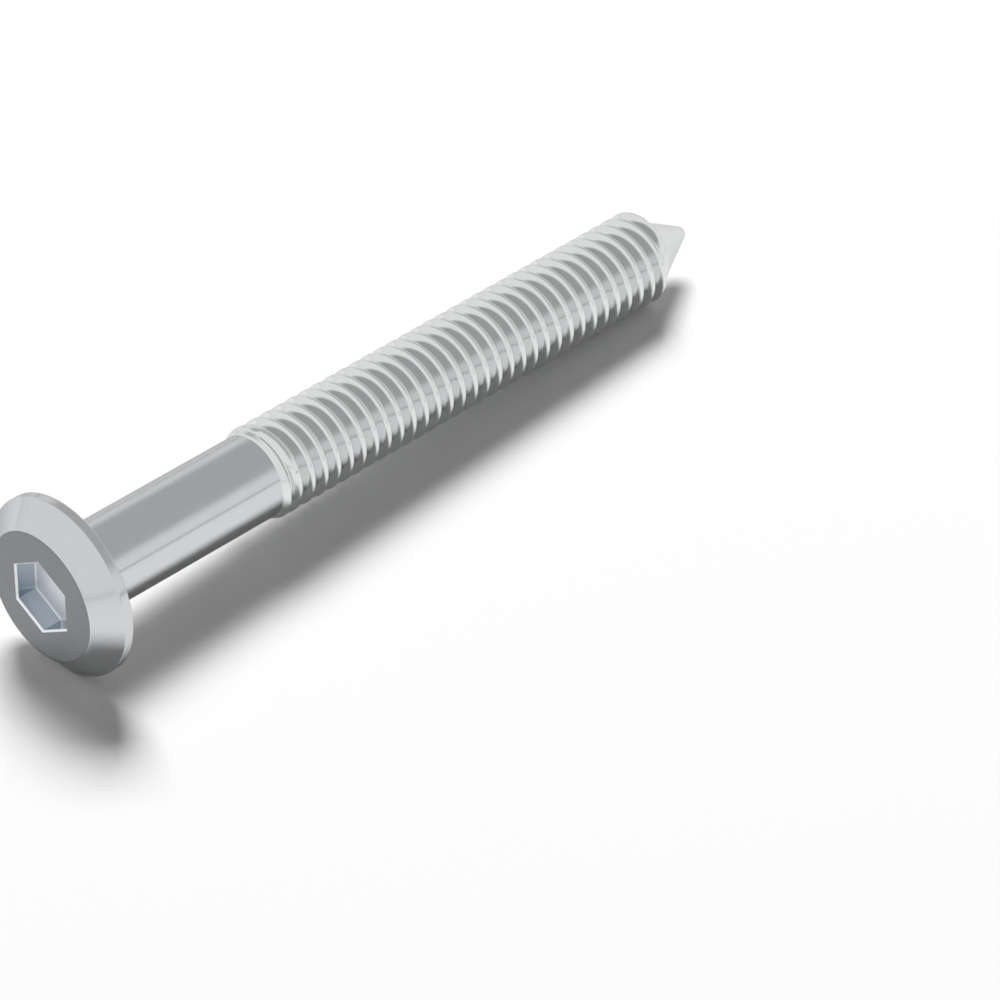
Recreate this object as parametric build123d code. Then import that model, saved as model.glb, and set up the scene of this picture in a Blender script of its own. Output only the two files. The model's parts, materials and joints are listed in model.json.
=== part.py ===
from build123d import *

# A long machine screw made in one piece. Its head is a short cone that opens from a flat front face
# to a narrow straight rim, with a hexagon socket in the front and a flat bearing face behind. A coned
# collar stands on the bearing face, and a plain shank runs from it to a right-hand thread, which ends
# at a blunt cone point.
# It is drawn upright, with z running from the front of the head to the point. Then it is laid down as
# it comes to rest, on the edge of its head and on the crest of its last full turn of thread.

import os
from math import asin, atan2, cos, degrees, floor, hypot, radians, sqrt, tan

# Head
head_d = 15.3
head_height = 2.71
head_rim_width = 0.84
head_face_d = 11.16
head_face_round = 0.5
head_rim_round = 0.14

# Hexagon socket, 7/32 inch across its flats
socket_across_flats = 5.56
socket_depth = 1.95
socket_mouth_chamfer = 0.15
socket_direction = -2.8

# Collar between the bearing face and the shank
collar_d = 10.74
collar_height = 1.6
collar_round = 0.25

# Shank
shank_d = 7.18
shank_length = 19.5

# Thread, 5/16 inch across with 18 turns to the inch
thread_d = 7.94
thread_pitch = 25.4 / 18
thread_depth = 0.85
thread_angle = 60.0
thread_root_width = 0.06
thread_start_chamfer = 0.38
thread_end_chamfer = 0.28

# Where the thread groove reaches its full depth, and how it rises out of the metal before that
groove_offset = 0.5
groove_direction = 133.0
run_out_turns = 0.5

# Where the last crest starts to sink away in front of the point, over how much of a turn, and what
# height of it stays
crest_end_direction = 190.0
crest_end_turns = 0.22
crest_end_rest = 0.04

# Point
under_head_length = 69.85
point_length = 5.0
point_angle = 55.0
point_end_d = 0.93
point_end_round = 0.6

# How far the thread's cutters stand out past the metal, beside the thread and where they start
cutter_reach = 0.25
run_out_reach = 0.1

# Heights along the screw, from the front of the head
rim_front = head_height - head_rim_width
thread_start = head_height + shank_length
point_end = head_height + under_head_length
point_start = point_end - point_length
thread_end = point_start - thread_end_chamfer
groove_start = thread_start + groove_offset

# Radii
head_r = head_d / 2
shank_r = shank_d / 2
thread_r = thread_d / 2
thread_root_r = thread_r - thread_depth
point_end_r = point_end_d / 2
point_start_r = point_end_r + point_length * tan(radians(point_angle / 2))


def turned_body():
    """The screw as it is turned, without its thread groove and its socket."""
    corners = [
        ((head_face_d / 2, 0), head_face_round),
        ((head_r, rim_front), head_rim_round),
        ((head_r, head_height), head_rim_round),
        ((collar_d / 2, head_height), 0),
        ((shank_r, head_height + collar_height), collar_round),
        ((shank_r, thread_start), 0),
        ((thread_r, thread_start + thread_start_chamfer), 0),
        ((thread_r, thread_end), 0),
        ((point_start_r, point_start), 0),
        ((point_end_r, point_end), point_end_round),
    ]
    points = [(0, 0)] + [point for point, _ in corners] + [(0, point_end)]
    edge = FilletPolyline(*points, radius=[size for _, size in corners])
    outline = make_face([edge, Line((0, point_end), (0, 0))])
    return revolve(Plane.XZ * outline, Axis.Z)


def groove_section(root_r):
    """The vee of the groove, in the plane of the screw's axis, with its narrow root at root_r."""
    height = thread_depth + cutter_reach
    half_root = thread_root_width / 2
    half_mouth = half_root + height * tan(radians(thread_angle / 2))
    vee = Polygon(
        (root_r, -half_root),
        (root_r + height, -half_mouth),
        (root_r + height, half_mouth),
        (root_r, half_root),
        align=None,
    )
    return Plane.XZ * vee


def thread_cutters():
    """The groove at full depth: one turn of it, repeated to past the foot of the point."""
    path = Helix(thread_pitch, thread_pitch, thread_root_r)
    turn = sweep(groove_section(thread_root_r), path=path, is_frenet=True)
    turns = floor((point_start - groove_start) / thread_pitch) + 1
    return [
        Pos(0, 0, groove_start + number * thread_pitch) * Rot(0, 0, groove_direction) * turn
        for number in range(turns)
    ]


def sinking_path(turns, start_r, end_r):
    """A part turn of the thread's helix that closes in on the axis, from start_r to end_r."""
    rise = turns * thread_pitch
    sink = start_r - end_r
    slant = hypot(rise, sink)
    return Helix(slant / turns, rise, start_r, cone_angle=-degrees(atan2(sink, rise)))


def run_out_cutter():
    """The part turn before the full groove, along which it sinks in from outside the metal."""
    start_r = thread_r + run_out_reach
    path = sinking_path(run_out_turns, start_r, thread_root_r)
    cutter = sweep(groove_section(start_r), path=path, is_frenet=True)
    start_height = groove_start - run_out_turns * thread_pitch
    return Pos(0, 0, start_height) * Rot(0, 0, groove_direction - 360 * run_out_turns) * cutter


def crest_section(inner_r):
    """A block one pitch wide that a crest fits in, in the plane of the axis, from inner_r outwards."""
    half = thread_pitch / 2
    outer_r = inner_r + thread_depth + cutter_reach
    block = Polygon((inner_r, -half), (outer_r, -half), (outer_r, half), (inner_r, half), align=None)
    return Plane.XZ * block


def crest_end_cutters():
    """What takes the last crest away: a part turn that sinks into it, and more than half a turn after."""
    start_r = thread_r + run_out_reach
    end_r = thread_root_r + crest_end_rest
    sinking = sweep(
        crest_section(start_r), path=sinking_path(crest_end_turns, start_r, end_r), is_frenet=True
    )
    level = sweep(crest_section(end_r), path=Helix(thread_pitch, 0.6 * thread_pitch, end_r), is_frenet=True)
    first_crest = groove_start + thread_pitch * (0.5 + (crest_end_direction - groove_direction) / 360)
    start = first_crest + thread_pitch * floor((point_start - first_crest) / thread_pitch)
    end = start + crest_end_turns * thread_pitch
    return [
        Pos(0, 0, start) * Rot(0, 0, crest_end_direction) * sinking,
        Pos(0, 0, end) * Rot(0, 0, crest_end_direction + 360 * crest_end_turns) * level,
    ]


def socket_cutter():
    """The hexagon socket, with a small chamfer round its mouth."""
    hexagon = RegularPolygon(socket_across_flats / 2, 6, major_radius=False)
    mouth = RegularPolygon(socket_across_flats / 2 + socket_mouth_chamfer, 6, major_radius=False)
    chamfer_end = Pos(0, 0, socket_mouth_chamfer) * hexagon
    straight = extrude(hexagon, socket_depth)
    flared = loft([mouth.face(), chamfer_end.face()])
    return Rot(0, 0, socket_direction) * (straight + flared)


def last_crest_below():
    """Height along the screw of the last crest edge on the side that lies on the floor."""
    half_mouth = thread_root_width / 2 + thread_depth * tan(radians(thread_angle / 2))
    first_edge = groove_start - thread_pitch * groove_direction / 360 - half_mouth
    return first_edge + thread_pitch * floor((thread_end - first_edge) / thread_pitch)


def resting_tilt():
    """How far the screw's axis dips towards the point when the rim and that crest share a floor."""
    drop = head_r - head_rim_round - thread_r
    run = last_crest_below() - head_height + head_rim_round
    return degrees(atan2(drop, run) + asin(head_rim_round / hypot(drop, run)))


def laid_down(upright):
    """The screw on its side, its point towards +X, with the middle of its box at the origin."""
    lying = Rot(0, 90 + resting_tilt(), 0) * upright
    box = lying.bounding_box()
    return Pos(-box.center().X, -box.center().Y, -box.min.Z) * lying


screw = turned_body() - socket_cutter() - thread_cutters() - run_out_cutter() - crest_end_cutters()
os.makedirs("parts", exist_ok=True)
export_step(laid_down(screw), "parts/screw.step")
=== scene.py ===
"""A hex socket machine screw lying on a pale studio floor, dressed for a picture.

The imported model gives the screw's place, its axis and its thread size. This script builds the visible
surface as one closed skin of rings round that axis. Between the shank and the point, the rings give way
to rows that climb with the thread, so its crest and its root are true lines of the mesh.
"""

from __future__ import annotations

import json
import logging
import math
from dataclasses import dataclass, field
from enum import Enum

import bpy
import numpy as np
from mathutils import Euler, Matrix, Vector

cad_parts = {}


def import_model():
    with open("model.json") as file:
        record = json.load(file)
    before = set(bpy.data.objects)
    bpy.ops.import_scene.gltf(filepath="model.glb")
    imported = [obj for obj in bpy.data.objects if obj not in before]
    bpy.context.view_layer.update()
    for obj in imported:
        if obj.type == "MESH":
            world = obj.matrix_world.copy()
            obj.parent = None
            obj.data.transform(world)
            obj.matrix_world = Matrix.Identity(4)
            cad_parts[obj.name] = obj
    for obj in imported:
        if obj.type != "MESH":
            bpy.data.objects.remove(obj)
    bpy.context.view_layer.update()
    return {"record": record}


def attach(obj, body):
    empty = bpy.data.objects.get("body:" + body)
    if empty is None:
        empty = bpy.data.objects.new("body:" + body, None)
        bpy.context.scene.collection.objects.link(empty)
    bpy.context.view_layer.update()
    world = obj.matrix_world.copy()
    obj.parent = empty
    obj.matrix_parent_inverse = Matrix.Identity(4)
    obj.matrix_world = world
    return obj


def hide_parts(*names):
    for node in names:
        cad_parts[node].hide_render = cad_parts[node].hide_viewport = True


LOG = logging.getLogger("screw")

MM = 0.001
COLUMNS = 120
GRAIN_ATTRIBUTE = "lathe"

Array = np.ndarray


class Region(Enum):
    """A stretch of the screw with a finish of its own. The value is its material's place on the piece.

    SOCKET is the socket's floor and its mouth, and WALL is its six walls.
    """

    FRONT = 0
    SOCKET = 1
    TURNED = 2
    ROLLED = 3
    WALL = 4


@dataclass(frozen=True)
class ScrewAxis:
    """The screw's axis as it lies: the middle of its front face, and the way to its point.

    Attributes:
        start: The middle of the front face, in metres.
        along: Unit vector from the front face to the point.
    """

    start: Array
    along: Array

    @classmethod
    def from_record(cls, record: dict) -> ScrewAxis:
        """Read the axis from the drive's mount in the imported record.

        Args:
            record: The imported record.

        Returns:
            The axis, turned round so that it runs into the metal.
        """
        drive = next(mount for mount in record["mounts"] if mount["name"] == "hex_drive")
        along = -np.array(drive["axis"], dtype=float)
        return cls(start=np.array(drive["pos_m"], dtype=float), along=along / np.linalg.norm(along))

    @property
    def side(self) -> Array:
        """Unit vector that lies level, square to the axis."""
        return np.array((0.0, 1.0, 0.0))

    @property
    def down(self) -> Array:
        """Unit vector square to the axis that points at the floor."""
        return np.cross(self.side, self.along)

    def place(self, heights: Array, radii: Array, turns: Array) -> Array:
        """Turn screw coordinates into points of the scene.

        A point is the start, plus its height along the axis, plus its radius along the direction that
        lies its turn away from down, towards the side.

        Args:
            heights: Distances from the front face towards the point, in millimetres.
            radii: Distances from the axis, in millimetres.
            turns: Angles from down towards the side, in radians.

        Returns:
            The points in metres, one row each.
        """
        outward = np.cos(turns)[..., None] * self.down + np.sin(turns)[..., None] * self.side
        return self.start + MM * (heights[..., None] * self.along + radii[..., None] * outward)


@dataclass
class Rings:
    """A stack of closed rings round the axis, from one edge of a surface to the other.

    Attributes:
        heights: One row of heights for each ring, in millimetres.
        radii: One row of radii for each ring, in millimetres.
        regions: The finish of the strip that follows each ring.
    """

    heights: Array
    radii: Array
    regions: list[Region]

    @classmethod
    def turned(cls, outline: Array, region: Region) -> Rings:
        """Spin an outline round the axis.

        Args:
            outline: Height and radius of each point, in millimetres.
            region: The finish of the whole stretch.

        Returns:
            One ring for each point of the outline.
        """
        wide = np.ones(COLUMNS)
        return cls(outline[:, :1] * wide, outline[:, 1:] * wide, [region] * len(outline))

    def then(self, other: Rings) -> Rings:
        """Join another stack on behind this one."""
        return Rings(
            np.vstack((self.heights, other.heights)),
            np.vstack((self.radii, other.radii)),
            self.regions + other.regions,
        )


@dataclass(frozen=True)
class Corner:
    """A corner of an outline: its height and radius, and the radius that rounds it, in millimetres."""

    height: float
    radius: float
    rounding: float = 0.0


def rounded_outline(corners: list[Corner], steps: int = 5, margin: float = 0.04) -> Array:
    """Run an outline through its corners, with an arc at each rounded one.

    An arc touches both of its runs at rounding * tan(turn / 2) from the corner. Its points are the two
    touching radii, weighted by sin((1 - t) * turn) and sin(t * turn) over sin(turn). One more point lies
    a margin outside each end of the arc, which keeps the straight run beside it flat in its shading.

    Args:
        corners: The corners in order. The first and the last are never rounded.
        steps: The number of straight pieces that each arc is made of.
        margin: The distance of the extra points from their arc, in millimetres.

    Returns:
        Height and radius of each point, in millimetres.
    """
    places = np.array([(corner.height, corner.radius) for corner in corners])
    points = [places[:1]]
    for before, corner, after, shape in zip(places, places[1:], places[2:], corners[1:]):
        inward = (corner - before) / np.linalg.norm(corner - before)
        outward = (after - corner) / np.linalg.norm(after - corner)
        if shape.rounding == 0.0:
            points.append(np.array((corner - margin * inward, corner, corner + margin * outward)))
            continue
        turn = math.acos(float(np.clip(inward @ outward, -1.0, 1.0)))
        reach = shape.rounding * math.tan(turn / 2)
        bisector = (outward - inward) / np.linalg.norm(outward - inward)
        centre = corner + bisector * shape.rounding / math.cos(turn / 2)
        first, last = corner - reach * inward - centre, corner + reach * outward - centre
        part = np.linspace(0.0, 1.0, steps + 1)[:, None]
        arc = centre + (np.sin((1 - part) * turn) * first + np.sin(part * turn) * last) / math.sin(turn)
        points.append(np.vstack((arc[:1] - margin * inward, arc, arc[-1:] + margin * outward)))
    points.append(places[-1:])
    return np.vstack(points)


@dataclass(frozen=True)
class Socket:
    """The hexagon socket in the front of the head, in millimetres and radians."""

    across_flats: float = 5.56
    depth: float = 1.95
    mouth_chamfer: float = 0.15
    floor_round: float = 0.1
    direction: float = math.radians(-2.8)
    round_steps: int = 3
    floor_rings: int = 3
    wall_rings: int = 3
    mouth_rings: int = 2

    def turns(self) -> Array:
        """Return the turn of each column of the mesh, which starts at a corner of the hexagon."""
        return self.direction + np.linspace(0.0, 2 * math.pi, COLUMNS, endpoint=False)

    def hexagon(self, half_width: Array) -> Array:
        """Work out rings in the shape of the hexagon.

        Along one side, the radius is the half width divided by the cosine of the angle from the middle
        of that side.

        Args:
            half_width: Half the width across flats of each ring, in millimetres.

        Returns:
            The radius at every column, one row for each ring.
        """
        from_corner = np.mod(self.turns() - self.direction, math.pi / 3)
        return half_width[:, None] / np.cos(from_corner - math.pi / 6)

    def rings(self) -> Rings:
        """Build the floor, the round at its foot, the walls and the chamfer at the mouth.

        Returns:
            Rings from near the middle of the floor to the mouth.
        """
        half = self.across_flats / 2
        foot = np.linspace(0.0, math.pi / 2, self.round_steps + 1)
        widths = np.concatenate(
            (
                half * np.array((0.15, 0.5, 0.85)),
                half - self.floor_round * (1 - np.sin(foot)),
                (half, half, half, half + self.mouth_chamfer),
            )
        )
        heights = np.concatenate(
            (
                np.full(self.floor_rings, self.depth),
                self.depth - self.floor_round * (1 - np.cos(foot)),
                (self.depth / 2, self.mouth_chamfer + 0.05, self.mouth_chamfer, 0.0),
            )
        )
        radii = self.hexagon(widths)
        floor = [Region.SOCKET] * (self.floor_rings + self.round_steps)
        regions = floor + [Region.WALL] * self.wall_rings + [Region.SOCKET] * self.mouth_rings
        return Rings(heights[:, None] * np.ones(COLUMNS), radii, regions)


@dataclass(frozen=True)
class Head:
    """The head: flat front, coned flank, straight rim, bearing face and coned collar, in millimetres.

    The front's dull finish, darkened with painted shade, covers the first rings of its rounded edge,
    as many as the last field gives.
    """

    socket: Socket = field(default_factory=Socket)
    diameter: float = 15.3
    height: float = 2.71
    rim_width: float = 0.84
    face_diameter: float = 11.16
    face_round: float = 0.5
    rim_round: float = 0.14
    collar_diameter: float = 10.74
    collar_height: float = 1.6
    collar_round: float = 0.25
    collar_foot_round: float = 0.05
    dull_painted_shade_rings: int = 4

    def front_rings(self) -> Rings:
        """Fill the flat front between the socket's mouth and the round at its edge.

        A ring's radius goes from the hexagon to the circle in even steps.

        Returns:
            Rings from the mouth of the socket outwards.
        """
        mouth = self.socket.hexagon(np.array([self.socket.across_flats / 2 + self.socket.mouth_chamfer]))
        edge = self.face_diameter / 2 - self.face_round
        share = np.array((0.0, 0.03, 0.35, 0.7, 1.0))[:, None]
        radii = (1 - share) * mouth + share * edge
        return Rings(np.zeros_like(radii), radii, [Region.FRONT] * len(share))

    def rings(self, shank_radius: float, shank_end: float) -> Rings:
        """Build the head from the middle of its socket to the end of the plain shank.

        Args:
            shank_radius: Radius of the shank.
            shank_end: Height at which the shank ends.

        Returns:
            The rings of the head and the shank.
        """
        outline = rounded_outline(
            [
                Corner(0.0, self.face_diameter / 2 - self.face_round),
                Corner(0.0, self.face_diameter / 2, self.face_round),
                Corner(self.height - self.rim_width, self.diameter / 2, self.rim_round),
                Corner(self.height, self.diameter / 2, self.rim_round),
                Corner(self.height, self.collar_diameter / 2, self.collar_foot_round),
                Corner(self.height + self.collar_height, shank_radius, self.collar_round),
                Corner(shank_end, shank_radius),
            ]
        )
        front = Rings.turned(outline[1 : self.dull_painted_shade_rings + 1], Region.FRONT)
        turned = Rings.turned(outline[self.dull_painted_shade_rings + 1 : -1], Region.TURNED)
        return self.socket.rings().then(self.front_rings()).then(front).then(turned)


@dataclass(frozen=True)
class Point:
    """The shoulder behind the last thread turn, the cone and its blunt end, in millimetres.

    The shoulder falls from shoulder_start at the thread's outside to the cone, whose sides would meet at
    the apex.
    """

    shoulder_start: float = 67.3
    shoulder_slope: float = 3.0
    shoulder_blend: float = 0.25
    cone_blend: float = 0.1
    half_angle: float = math.radians(27.6)
    end: float = 72.56
    end_radius: float = 0.465
    end_round: float = 0.6

    def cone_radius(self, heights: Array) -> Array:
        """Return the cone's radius at each height."""
        return self.end_radius + (self.end - heights) * math.tan(self.half_angle)

    def limit(self, heights: Array, thread_radius: float) -> Array:
        """Work out how far the metal may reach from the axis near the point.

        It is the larger of two straight lines, the shoulder and the cone, with a soft hollow between.

        Args:
            heights: Heights along the screw.
            thread_radius: The thread's outside radius.

        Returns:
            The largest radius at each height.
        """
        shoulder = thread_radius - self.shoulder_slope * (heights - self.shoulder_start)
        return -soft_smaller(-shoulder, -self.cone_radius(heights), self.cone_blend)

    def nose(self, start: float) -> Array:
        """Run the outline from a height on the cone, round the blunt end, to near the axis.

        Args:
            start: Height on the cone where the outline starts.

        Returns:
            Height and radius of each point.
        """
        first = float(self.cone_radius(np.array(start)))
        corners = [
            Corner(start, first),
            Corner(self.end, self.end_radius, self.end_round),
            Corner(self.end, 0.02),
        ]
        return rounded_outline(corners, steps=8)


def soft_smaller(first: Array, second: Array, blend: float) -> Array:
    """Take the smaller of two values, rounded where they cross.

    Within the blend of each other, the smaller one is lowered by blend * h * h / 4, where h falls from
    1 where they are equal to 0 at the blend's end.

    Args:
        first: One set of values.
        second: The other set.
        blend: The difference within which the corner is rounded.

    Returns:
        The rounded smaller values.
    """
    near = np.clip(1.0 - np.abs(first - second) / blend, 0.0, 1.0)
    return np.minimum(first, second) - blend * near * near / 4


@dataclass(frozen=True)
class Thread:
    """The right-hand rolled thread, in millimetres and radians.

    Its crests and roots are round. The groove starts on the taper past the shank, sinks in over run_out
    turns, and is full from late turns past the point on its path at full_height and full_turn. In front
    of the point, the crest sinks away from the height crest_end, over crest_end_turns.

    Attributes:
        radius: The outside radius.
        point: The point in front of the thread.
        late: How many turns past full_height and full_turn the groove is full.
        start_step: How far the metal rises at 45 degrees where the shank ends.
        start_slope: How steeply it rises from there, to the outside radius.
    """

    radius: float
    point: Point
    pitch: float = 25.4 / 18
    crest_round: float = 0.28
    root_round: float = 0.09
    flank_angle: float = math.radians(30.0)
    full_height: float = 22.71
    full_turn: float = math.radians(133.0)
    late: float = 0.62
    run_out: float = 0.8
    run_out_reach: float = 0.1
    shank_radius: float = 3.59
    shank_end: float = 22.21
    start_blend: float = 0.04
    start_step: float = 0.115
    start_slope: float = 0.4
    crest_end: float = 67.38
    crest_end_turns: float = 0.22
    crest_steps: int = 8

    @property
    def depth(self) -> float:
        """Return the depth of the groove, which its two roundings take from the sharp one's."""
        return self.pitch / 2 / math.tan(self.flank_angle) - self.crest_round - self.root_round

    def flank_points(self) -> Array:
        """Place the rows of one turn, as distances from the crest in millimetres.

        The crest's rows lie evenly round its arc. The flank has a row near each end, and the root has
        one where its arc starts and one at its bottom.

        Returns:
            The distances for one whole turn, from a crest up to, but without, the next one.
        """
        half = math.pi / 2 - self.flank_angle
        arc = self.crest_round * np.sin(np.linspace(0.0, half, self.crest_steps // 2 + 1))
        foot = self.pitch / 2 - self.root_round * math.sin(half)
        rise = np.concatenate((arc, (arc[-1] + 0.04, foot - 0.04, foot, self.pitch / 2)))
        return np.concatenate((rise, self.pitch - rise[-2:0:-1]))

    def depth_at(self, distance: Array) -> Array:
        """Work out how far below the crest the surface lies, at a distance from the nearest crest.

        The crest is an arc, the flank is straight, and the root is a smaller arc.

        Args:
            distance: Distances from the nearest crest along the axis, at most half a pitch.

        Returns:
            The depths below the crest.
        """
        half = math.pi / 2 - self.flank_angle
        crest_edge = self.crest_round * math.sin(half)
        crest_drop = self.crest_round * (1 - math.cos(half))
        root_edge = self.pitch / 2 - self.root_round * math.sin(half)
        crest = self.crest_round - np.sqrt(np.clip(self.crest_round**2 - distance**2, 0.0, None))
        flank = crest_drop + (distance - crest_edge) / math.tan(self.flank_angle)
        from_root = self.pitch / 2 - distance
        root = self.depth - self.root_round + np.sqrt(np.clip(self.root_round**2 - from_root**2, 0.0, None))
        return np.where(distance < crest_edge, crest, np.where(distance < root_edge, flank, root))

    def radius_at(self, heights: Array, turns: Array) -> Array:
        """Work out the screw's radius anywhere from the shank to the point.

        Each place belongs to the nearest groove. The groove's travel, in turns past the place where it
        is full, gives how far it is still lifted out of the metal. Each place also belongs to the
        nearest crest, whose own height along the screw gives how much of it has sunk away before the
        point. The surface is then kept under a step and a taper at the shank, and under the shoulder and
        cone at the point.

        Args:
            heights: Heights along the screw.
            turns: Turns round it, in radians.

        Returns:
            The radii.
        """
        round_turns = (turns - self.full_turn) / (2 * math.pi)
        grooves = (heights - self.full_height) / self.pitch - round_turns
        nearest = np.round(grooves)
        travel = nearest + round_turns
        lift = np.clip((self.late - travel) / self.run_out, 0.0, 1.0) * (self.depth + self.run_out_reach)
        from_crest = self.pitch * (0.5 - np.abs(grooves - nearest))
        crest_height = self.full_height + self.pitch * (np.floor(grooves) + 0.5 + round_turns)
        sunk = np.clip((crest_height - self.crest_end) / (self.crest_end_turns * self.pitch), 0.0, 1.0)
        sunk = sunk * sunk * (3 - 2 * sunk)
        depth = self.depth_at(from_crest)
        threaded = np.minimum(self.radius, self.radius - depth - (self.depth - depth) * sunk + lift)
        past = np.maximum(heights - self.shank_end, 0.0)
        taper = self.start_step + self.start_slope * (past - self.start_step)
        entry = self.shank_radius + np.minimum(past, taper)
        started = soft_smaller(threaded, entry, self.start_blend)
        ended = soft_smaller(started, self.point.limit(heights, self.radius), self.point.shoulder_blend)
        return np.where(heights < 0.5 * (self.shank_end + self.point.end), started, ended)


@dataclass
class Skin:
    """The screw's surface while it is put together: its points, faces and finishes."""

    heights: list[Array] = field(default_factory=list)
    radii: list[Array] = field(default_factory=list)
    turns: list[Array] = field(default_factory=list)
    faces: list[tuple[Array, Region]] = field(default_factory=list)
    count: int = 0

    def add_points(self, heights: Array, radii: Array, turns: Array) -> Array:
        """Add points to the skin.

        Args:
            heights: Heights along the screw.
            radii: Distances from the axis.
            turns: Turns round it.

        Returns:
            The number of each new point, in the same layout.
        """
        numbers = self.count + np.arange(heights.size).reshape(heights.shape)
        self.heights.append(heights.ravel())
        self.radii.append(radii.ravel())
        self.turns.append(turns.ravel())
        self.count += heights.size
        return numbers

    def add_faces(self, low: Array, high: Array, region: Region) -> None:
        """Cover the strips between two sets of rings with faces that point outwards.

        Corners that fall together leave a triangle, and a face with fewer than three corners is dropped.

        Args:
            low: Point numbers of the lower rings, with the first column repeated at the end.
            high: Point numbers of the upper rings, laid out alike.
            region: The finish of the faces.
        """
        corners = np.stack((low[:, :-1], low[:, 1:], high[:, 1:], high[:, :-1]), axis=-1).reshape(-1, 4)
        same = corners == np.roll(corners, -1, axis=1)
        self.faces.append((corners[~same.any(axis=1)], region))
        single = corners[same.sum(axis=1) == 1]
        keep = ~(single == np.roll(single, -1, axis=1))
        self.faces.append((single[keep].reshape(-1, 3), region))

    def add_rings(self, rings: Rings, turns: Array) -> Array:
        """Add a stack of rings and the strips between them.

        Args:
            rings: The stack.
            turns: The turn of each column.

        Returns:
            The point numbers, one row for each ring.
        """
        numbers = self.add_points(rings.heights, rings.radii, np.broadcast_to(turns, rings.heights.shape))
        closed = np.hstack((numbers, numbers[:, :1]))
        for row, region in enumerate(rings.regions[:-1]):
            self.add_faces(closed[row : row + 1], closed[row + 1 : row + 2], region)
        return numbers

    def add_pole(self, ring: Array, height: float, region: Region, at_start: bool) -> None:
        """Close a ring with a fan of triangles to one point on the axis.

        Args:
            ring: Point numbers of the ring.
            height: Height of the point on the axis.
            region: The finish of the fan.
            at_start: Whether the pole comes before the ring, seen along the screw.
        """
        zero = np.zeros(1)
        pole = self.add_points(np.array([height]), zero, zero)
        closed = np.append(ring, ring[0])[None, :]
        fan = np.full_like(closed, pole[0])
        low, high = (fan, closed) if at_start else (closed, fan)
        self.add_faces(low, high, region)


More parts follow.
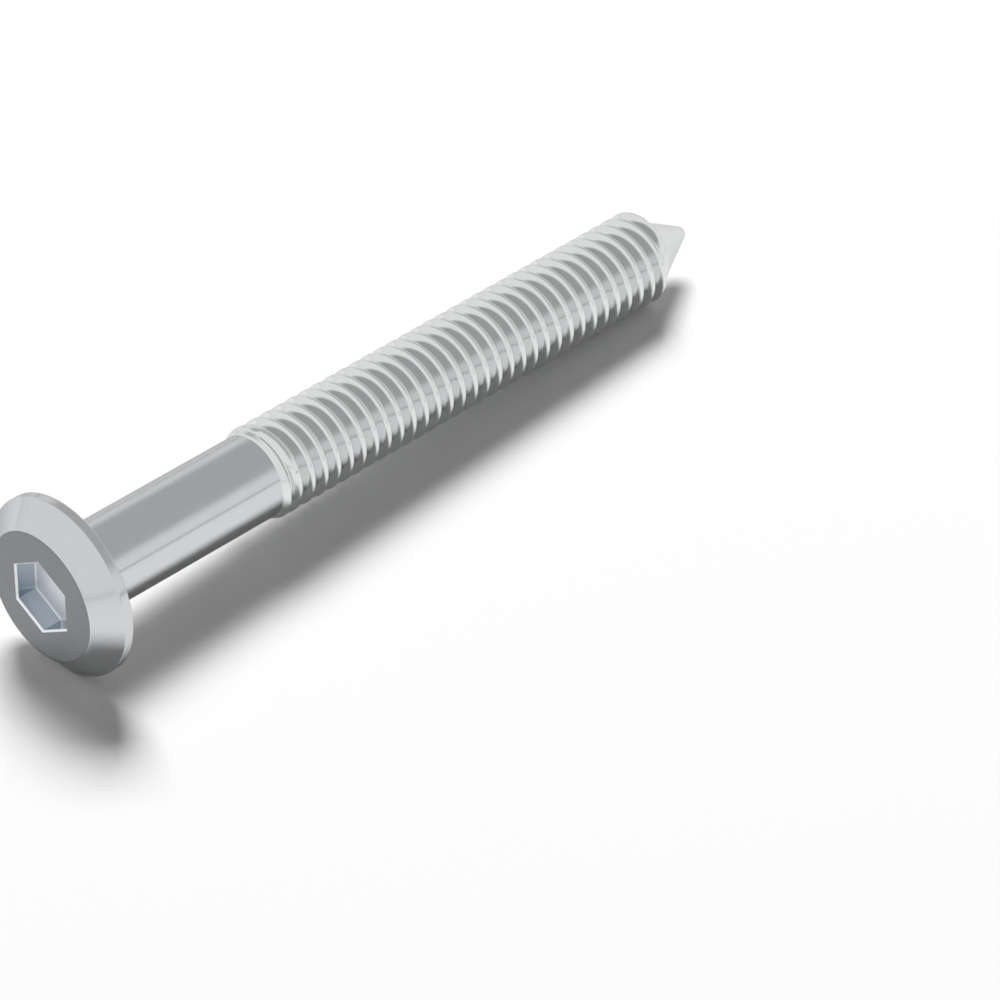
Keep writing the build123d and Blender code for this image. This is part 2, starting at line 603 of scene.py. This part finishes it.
@dataclass
class Screw:
    """The whole screw: its parts' sizes, and the mesh that shows it."""

    axis: ScrewAxis
    thread: Thread
    head: Head = field(default_factory=Head)
    entry_rows: int = 9
    entry_length: float = 0.46
    exit_rows: int = 22
    exit_length: float = 0.9
    crease_angle: float = math.radians(35.0)
    name: str = "screw_skin"

    def threaded_rows(self, skin: Skin, first: Array, last: Array, start: float, end: float) -> None:
        """Cover the threaded stretch with rows that climb one pitch in each turn.

        A row's height is the pitch times its own number of turns plus the turn of the column. Heights
        outside the stretch are moved to its first or last ring, and the points there are that ring's
        own. After one turn, a row runs on into the row that lies one pitch above it.

        Args:
            skin: The skin to add to.
            first: Point numbers of the ring at the start.
            last: Point numbers of the ring at the end.
            start: Height of the first ring.
            end: Height of the last ring.
        """
        pitch = self.thread.pitch
        offsets = self.thread.flank_points()
        per_turn = len(offsets)
        columns = self.head.socket.turns()
        crest = self.thread.full_height + pitch / 2 - pitch * self.thread.full_turn / (2 * math.pi)
        climb = pitch * columns / (2 * math.pi)
        low_turn = math.floor((start - crest - climb.max()) / pitch) - 1
        high_turn = math.ceil((end - crest - climb.min()) / pitch) + 1
        base = crest + pitch * np.arange(low_turn, high_turn + 1)[:, None] + offsets
        heights = base.reshape(-1, 1) + climb
        inside = (heights > start) & (heights < end)
        turns = np.broadcast_to(columns, heights.shape)
        numbers = np.where(heights <= start, first, last)
        radii = self.thread.radius_at(heights[inside], turns[inside])
        numbers[inside] = skin.add_points(heights[inside], radii, turns[inside])
        closed = np.hstack((numbers[:-per_turn], numbers[per_turn:, :1]))
        skin.add_faces(closed[:-1], closed[1:], Region.ROLLED)

    def measured_rings(self, start: float, end: float, rows: int, region: Region) -> Rings:
        """Build level rings across a stretch that the groove cuts at a slant.

        Args:
            start: Height of the first ring.
            end: Height of the last ring.
            rows: The number of rings.
            region: Their finish.

        Returns:
            The rings, each with the thread's own radius at every column.
        """
        heights = np.linspace(start, end, rows)[:, None] * np.ones(COLUMNS)
        turns = np.broadcast_to(self.head.socket.turns(), heights.shape)
        return Rings(heights, self.thread.radius_at(heights, turns), [region] * rows)

    def skin(self) -> Skin:
        """Put the whole surface together, from the floor of the socket to the end of the point."""
        skin = Skin()
        thread, point = self.thread, self.thread.point
        columns = self.head.socket.turns()
        entry_end = thread.shank_end + self.entry_length
        exit_start = point.shoulder_start - point.shoulder_blend
        exit_end = exit_start + self.exit_length
        before = self.head.rings(thread.shank_radius, thread.shank_end).then(
            self.measured_rings(thread.shank_end, entry_end, self.entry_rows, Region.ROLLED)
        )
        nose = point.nose(exit_end)
        after = self.measured_rings(exit_start, exit_end, self.exit_rows, Region.ROLLED).then(
            Rings.turned(nose[1:], Region.TURNED)
        )
        lower = skin.add_rings(before, columns)
        upper = skin.add_rings(after, columns)
        skin.add_pole(lower[0], self.head.socket.depth, Region.SOCKET, at_start=True)
        skin.add_pole(upper[-1], point.end, Region.TURNED, at_start=False)
        self.threaded_rows(skin, lower[-1], upper[0], entry_end, exit_start)
        return skin

    def build(self, finishes: dict[Region, bpy.types.Material]) -> bpy.types.Object:
        """Make the screw's object from its skin.

        Args:
            finishes: The material of each region.

        Returns:
            The object, at the origin, with its place in its mesh.
        """
        skin = self.skin()
        heights, radii, turns = (np.concatenate(part) for part in (skin.heights, skin.radii, skin.turns))
        mesh = bpy.data.meshes.new(self.name)
        faces = [corners for group, _ in skin.faces for corners in group.tolist()]
        mesh.from_pydata(self.axis.place(heights, radii, turns), [], faces)
        regions = np.concatenate([np.full(len(group), region.value) for group, region in skin.faces])
        mesh.polygons.foreach_set("material_index", regions.astype(np.int32))
        lathe = mesh.attributes.new(GRAIN_ATTRIBUTE, "FLOAT_VECTOR", "POINT")
        along_and_out = np.stack((heights, radii, np.zeros_like(radii)), axis=-1)
        lathe.data.foreach_set("vector", along_and_out.ravel().astype(np.float32))
        for region in Region:
            mesh.materials.append(finishes[region])
        mesh.shade_smooth()
        mesh.set_sharp_from_angle(angle=self.crease_angle)
        mesh.update()
        screw = bpy.data.objects.new(self.name, mesh)
        bpy.context.scene.collection.objects.link(screw)
        LOG.info("%s: %d points, %d faces", self.name, len(mesh.vertices), len(mesh.polygons))
        return screw


@dataclass(frozen=True)
class ZincFinish:
    """A zinc-plated finish.

    Attributes:
        name: The material's name.
        colour: Its colour in linear red, green and blue.
        roughness: The middle of its roughness.
        roughness_spread: How far the grain moves the roughness either way.
        shade: How much the grain darkens the colour, from 0 to 1.
        bump: The height of the grain, in millimetres.
        ring_scale: Turning marks in each millimetre along the outline.
        cloud_scale: Clouds of plating in each metre.
        edge: How much of a bright edge it keeps at a glancing view, from 0 to 1.
    """

    name: str
    colour: tuple[float, float, float]
    roughness: float
    roughness_spread: float
    shade: float
    bump: float
    ring_scale: float
    cloud_scale: float
    edge: float

    def material(self, grain: bpy.types.NodeTree) -> bpy.types.Material:
        """Build the finish's material.

        Args:
            grain: The shared group that gives turning marks and clouds.

        Returns:
            The material.
        """
        material = bpy.data.materials.new(self.name)
        material.use_nodes = True
        tree = material.node_tree
        shader = tree.nodes["Principled BSDF"]
        shader.inputs["Metallic"].default_value = 1.0
        shader.inputs["Specular Tint"].default_value = (self.edge, self.edge, self.edge, 1.0)
        place = tree.nodes.new("ShaderNodeTexCoord")
        lathe = tree.nodes.new("ShaderNodeAttribute")
        lathe.attribute_name = GRAIN_ATTRIBUTE
        marks = tree.nodes.new("ShaderNodeGroup")
        marks.node_tree = grain
        marks.inputs["Ring Scale"].default_value = self.ring_scale
        marks.inputs["Cloud Scale"].default_value = self.cloud_scale
        tree.links.new(place.outputs["Object"], marks.inputs["Place"])
        tree.links.new(lathe.outputs["Vector"], marks.inputs["Lathe"])
        tint = tree.nodes.new("ShaderNodeMix")
        tint.data_type = "RGBA"
        tint.inputs["A"].default_value = (*self.colour, 1.0)
        tint.inputs["B"].default_value = (*(part * (1 - self.shade) for part in self.colour), 1.0)
        tree.links.new(marks.outputs["Cloud"], tint.inputs["Factor"])
        tree.links.new(tint.outputs["Result"], shader.inputs["Base Color"])
        rough = tree.nodes.new("ShaderNodeMapRange")
        rough.inputs["To Min"].default_value = self.roughness - self.roughness_spread
        rough.inputs["To Max"].default_value = self.roughness + self.roughness_spread
        tree.links.new(marks.outputs["Grain"], rough.inputs["Value"])
        tree.links.new(rough.outputs["Result"], shader.inputs["Roughness"])
        bump = tree.nodes.new("ShaderNodeBump")
        bump.inputs["Distance"].default_value = self.bump * MM
        tree.links.new(marks.outputs["Grain"], bump.inputs["Height"])
        tree.links.new(bump.outputs["Normal"], shader.inputs["Normal"])
        return material


def grain_group() -> bpy.types.NodeTree:
    """Build the group that every zinc finish takes its surface from.

    Grain is fine noise stretched round the axis, like turning marks. Cloud is large soft noise, like
    uneven plating.

    Returns:
        The node group.
    """
    group = bpy.data.node_groups.new("zinc_grain", "ShaderNodeTree")
    sockets = group.interface
    sockets.new_socket("Place", in_out="INPUT", socket_type="NodeSocketVector")
    sockets.new_socket("Lathe", in_out="INPUT", socket_type="NodeSocketVector")
    sockets.new_socket("Ring Scale", in_out="INPUT", socket_type="NodeSocketFloat")
    sockets.new_socket("Cloud Scale", in_out="INPUT", socket_type="NodeSocketFloat")
    sockets.new_socket("Grain", in_out="OUTPUT", socket_type="NodeSocketFloat")
    sockets.new_socket("Cloud", in_out="OUTPUT", socket_type="NodeSocketFloat")
    given = group.nodes.new("NodeGroupInput")
    result = group.nodes.new("NodeGroupOutput")
    rings = group.nodes.new("ShaderNodeTexNoise")
    rings.inputs["Detail"].default_value = 3.0
    clouds = group.nodes.new("ShaderNodeTexNoise")
    clouds.inputs["Detail"].default_value = 4.0
    group.links.new(given.outputs["Lathe"], rings.inputs["Vector"])
    group.links.new(given.outputs["Ring Scale"], rings.inputs["Scale"])
    group.links.new(given.outputs["Place"], clouds.inputs["Vector"])
    group.links.new(given.outputs["Cloud Scale"], clouds.inputs["Scale"])
    group.links.new(rings.outputs["Fac"], result.inputs["Grain"])
    group.links.new(clouds.outputs["Fac"], result.inputs["Cloud"])
    return group


FINISHES = {
    # The front's dark colour is painted shade: far darker than the zinc elsewhere, it stands for the dark
    # surroundings the front reflects. Its dull roughness is its own.
    Region.FRONT: ZincFinish(
        name="dull_zinc_painted_shade",
        colour=(0.26, 0.265, 0.275),
        roughness=0.42,
        roughness_spread=0.03,
        shade=0.12,
        bump=0.0006,
        ring_scale=6.0,
        cloud_scale=700.0,
        edge=1.0,
    ),
    # The socket floor's near-white colour is painted light: brighter than any zinc, it stands for the
    # bright reflections in the socket's floor and mouth.
    Region.SOCKET: ZincFinish(
        name="socket_zinc_painted_light",
        colour=(0.95, 0.955, 0.975),
        roughness=0.55,
        roughness_spread=0.03,
        shade=0.03,
        bump=0.0003,
        ring_scale=5.0,
        cloud_scale=900.0,
        edge=1.0,
    ),
    Region.TURNED: ZincFinish(
        name="turned_zinc",
        colour=(0.65, 0.66, 0.67),
        roughness=0.15,
        roughness_spread=0.02,
        shade=0.05,
        bump=0.0003,
        ring_scale=9.0,
        cloud_scale=500.0,
        edge=0.6,
    ),
    # Zinc plating, set lighter than the turned zinc as painted light that lifts the shade between the
    # thread's turns.
    Region.ROLLED: ZincFinish(
        name="rolled_zinc_painted_light",
        colour=(0.77, 0.78, 0.785),
        roughness=0.12,
        roughness_spread=0.02,
        shade=0.05,
        bump=0.0002,
        ring_scale=7.0,
        cloud_scale=600.0,
        edge=0.75,
    ),
    # The walls' colour is painted shade: darker and bluer than the zinc elsewhere, it stands for the dark
    # blue-grey reflections deep in the socket.
    Region.WALL: ZincFinish(
        name="wall_zinc_painted_shade",
        colour=(0.46, 0.52, 0.58),
        roughness=0.08,
        roughness_spread=0.02,
        shade=0.03,
        bump=0.0003,
        ring_scale=5.0,
        cloud_scale=900.0,
        edge=1.0,
    ),
}


@dataclass(frozen=True)
class Softbox:
    """A square lamp that faces the middle of the screw.

    Attributes:
        name: The lamp's name.
        heading: Its direction from the screw in degrees, from +X towards +Y.
        elevation: Its height above the floor in degrees.
        distance: Its distance in metres.
        width: The width of its square in metres.
        watts: Its power.
        in_reflections: Whether polished metal shows it.
    """

    name: str
    heading: float
    elevation: float
    distance: float
    width: float
    watts: float
    in_reflections: bool = False

    def build(self) -> bpy.types.Object:
        """Make the lamp."""
        data = bpy.data.lights.new(self.name, "AREA")
        data.shape = "SQUARE"
        data.size = self.width
        data.energy = self.watts
        lamp = bpy.data.objects.new(self.name, data)
        heading, rise = math.radians(self.heading), math.radians(self.elevation)
        level = math.cos(rise)
        way = Vector((math.cos(heading) * level, math.sin(heading) * level, math.sin(rise)))
        lamp.location = way * self.distance
        lamp.rotation_euler = way.to_track_quat("Z", "Y").to_euler()
        lamp.visible_glossy = self.in_reflections
        bpy.context.scene.collection.objects.link(lamp)
        return lamp


@dataclass
class Studio:
    """The floor, the lamps, the world and the camera.

    Attributes:
        ambient: The share of the world's brightness that lights diffuse surfaces.
        wall_behind: Sine of the height and brightness of the world's stops behind the head.
        wall_ahead: The same past the point.
        blend_along_x: The directions' X between which the one gives way to the other.
        eye_offset: The camera's place from the middle of the screw's front, in metres.
        eye_heading: The camera's turn from +Y towards +X.
        eye_dip: How far the camera looks down.
    """

    axis: ScrewAxis
    floor_width: float = 6.0
    floor_shade: float = 0.9
    lamps: tuple[Softbox, ...] = (
        Softbox("key", heading=52.0, elevation=56.0, distance=3.0, width=1.3, watts=104.0),
    )
    ambient: float = 0.25
    wall_behind: tuple[tuple[float, float], ...] = ((0.0, 0.8), (0.05, 0.92), (0.7, 0.92))
    wall_ahead: tuple[tuple[float, float], ...] = (
        (0.0, 0.5),
        (0.03, 0.55),
        (0.07, 0.92),
        (0.34, 0.9),
        (0.45, 0.75),
        (0.545, 0.56),
        (0.7, 0.54),
    )
    blend_along_x: tuple[float, float] = (-0.05, 0.08)
    eye_offset: tuple[float, float, float] = (-0.175378, -0.220151, 0.245659)
    eye_heading: float = math.radians(45.71)
    eye_dip: float = math.radians(40.19)
    lens: float = 175.2

    def floor(self) -> bpy.types.Object:
        """Lay a plain pale floor under the screw."""
        half = self.floor_width / 2
        mesh = bpy.data.meshes.new("floor")
        corners = [(-half, -half, 0.0), (half, -half, 0.0), (half, half, 0.0), (-half, half, 0.0)]
        mesh.from_pydata(corners, [], [(0, 1, 2, 3)])
        material = bpy.data.materials.new("floor_paper")
        material.use_nodes = True
        shader = material.node_tree.nodes["Principled BSDF"]
        shader.inputs["Base Color"].default_value = (self.floor_shade,) * 3 + (1.0,)
        shader.inputs["Roughness"].default_value = 0.9
        shader.inputs["Specular IOR Level"].default_value = 0.0
        mesh.materials.append(material)
        floor = bpy.data.objects.new("floor", mesh)
        bpy.context.scene.collection.objects.link(floor)
        return floor

    @staticmethod
    def height_ramp(tree: bpy.types.NodeTree, stops: tuple[tuple[float, float], ...]) -> bpy.types.Node:
        """Add a ramp that turns the sine of a height above the horizon into a brightness.

        Args:
            tree: The world's tree.
            stops: Sine and brightness of each stop, from the horizon up.

        Returns:
            The ramp.
        """
        node = tree.nodes.new("ShaderNodeValToRGB")
        elements = node.color_ramp.elements
        elements[0].position, elements[0].color = stops[0][0], (stops[0][1],) * 3 + (1.0,)
        elements[1].position, elements[1].color = stops[-1][0], (stops[-1][1],) * 3 + (1.0,)
        for position, shade in stops[1:-1]:
            elements.new(position).color = (shade, shade, shade, 1.0)
        return node

    def world(self) -> bpy.types.World:
        """Surround the floor with pale walls, with a grey ceiling and a dark horizon past the point.

        Two ramps of the height above the horizon give the brightness, and they blend along X between
        the halves behind the head and past the point. The camera, metal and glass see all of it, and
        diffuse surfaces get only a share, so that the lamp draws the shadow.

        Returns:
            The world.
        """
        world = bpy.data.worlds.new("studio")
        bpy.context.scene.world = world
        world.use_nodes = True
        tree = world.node_tree
        background = tree.nodes["Background"]
        place = tree.nodes.new("ShaderNodeTexCoord")
        split = tree.nodes.new("ShaderNodeSeparateXYZ")
        behind = self.height_ramp(tree, self.wall_behind)
        ahead = self.height_ramp(tree, self.wall_ahead)
        part = tree.nodes.new("ShaderNodeMapRange")
        part.interpolation_type = "SMOOTHSTEP"
        part.inputs["From Min"].default_value = self.blend_along_x[0]
        part.inputs["From Max"].default_value = self.blend_along_x[1]
        walls = tree.nodes.new("ShaderNodeMix")
        walls.data_type = "RGBA"
        path = tree.nodes.new("ShaderNodeLightPath")
        seen = [tree.nodes.new("ShaderNodeMath") for _ in range(2)]
        strength = tree.nodes.new("ShaderNodeMapRange")
        strength.inputs["To Min"].default_value = self.ambient
        strength.inputs["To Max"].default_value = 1.0
        tree.links.new(place.outputs["Generated"], split.inputs["Vector"])
        tree.links.new(split.outputs["Z"], behind.inputs["Fac"])
        tree.links.new(split.outputs["Z"], ahead.inputs["Fac"])
        tree.links.new(split.outputs["X"], part.inputs["Value"])
        tree.links.new(part.outputs["Result"], walls.inputs["Factor"])
        tree.links.new(behind.outputs["Color"], walls.inputs["A"])
        tree.links.new(ahead.outputs["Color"], walls.inputs["B"])
        tree.links.new(walls.outputs["Result"], background.inputs["Color"])
        tree.links.new(path.outputs["Is Camera Ray"], seen[0].inputs[0])
        tree.links.new(path.outputs["Is Glossy Ray"], seen[0].inputs[1])
        tree.links.new(seen[0].outputs["Value"], seen[1].inputs[0])
        tree.links.new(path.outputs["Is Transmission Ray"], seen[1].inputs[1])
        tree.links.new(seen[1].outputs["Value"], strength.inputs["Value"])
        tree.links.new(strength.outputs["Result"], background.inputs["Strength"])
        return world

    def camera(self) -> bpy.types.Object:
        """Stand the camera where the picture was taken from and make it the scene's own."""
        data = bpy.data.cameras.new("camera")
        data.lens = self.lens
        data.sensor_width = 36.0
        data.clip_start = 0.01
        camera = bpy.data.objects.new("camera", data)
        camera.location = Vector(self.axis.start) + Vector(self.eye_offset)
        camera.rotation_euler = Euler((math.pi / 2 - self.eye_dip, 0.0, -self.eye_heading))
        bpy.context.scene.collection.objects.link(camera)
        bpy.context.scene.camera = camera
        return camera

    def build(self) -> None:
        """Set up everything round the screw."""
        self.floor()
        self.world()
        self.camera()
        for lamp in self.lamps:
            lamp.build()
        bpy.context.scene.view_settings.view_transform = "Standard"


def main() -> None:
    """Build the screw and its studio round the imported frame."""
    logging.basicConfig(level=logging.INFO)
    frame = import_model()
    record = frame["record"]
    axis = ScrewAxis.from_record(record)
    thread_mount = next(mount for mount in record["mounts"] if mount["name"] == "thread")
    thread = Thread(radius=float(thread_mount["dims"]["r_mm"]), point=Point())
    grain = grain_group()
    finishes = {region: finish.material(grain) for region, finish in FINISHES.items()}
    skin = Screw(axis=axis, thread=thread).build(finishes)
    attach(skin, "root")
    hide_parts("screw")
    Studio(axis=axis).build()


if __name__ == "__main__":
    main()
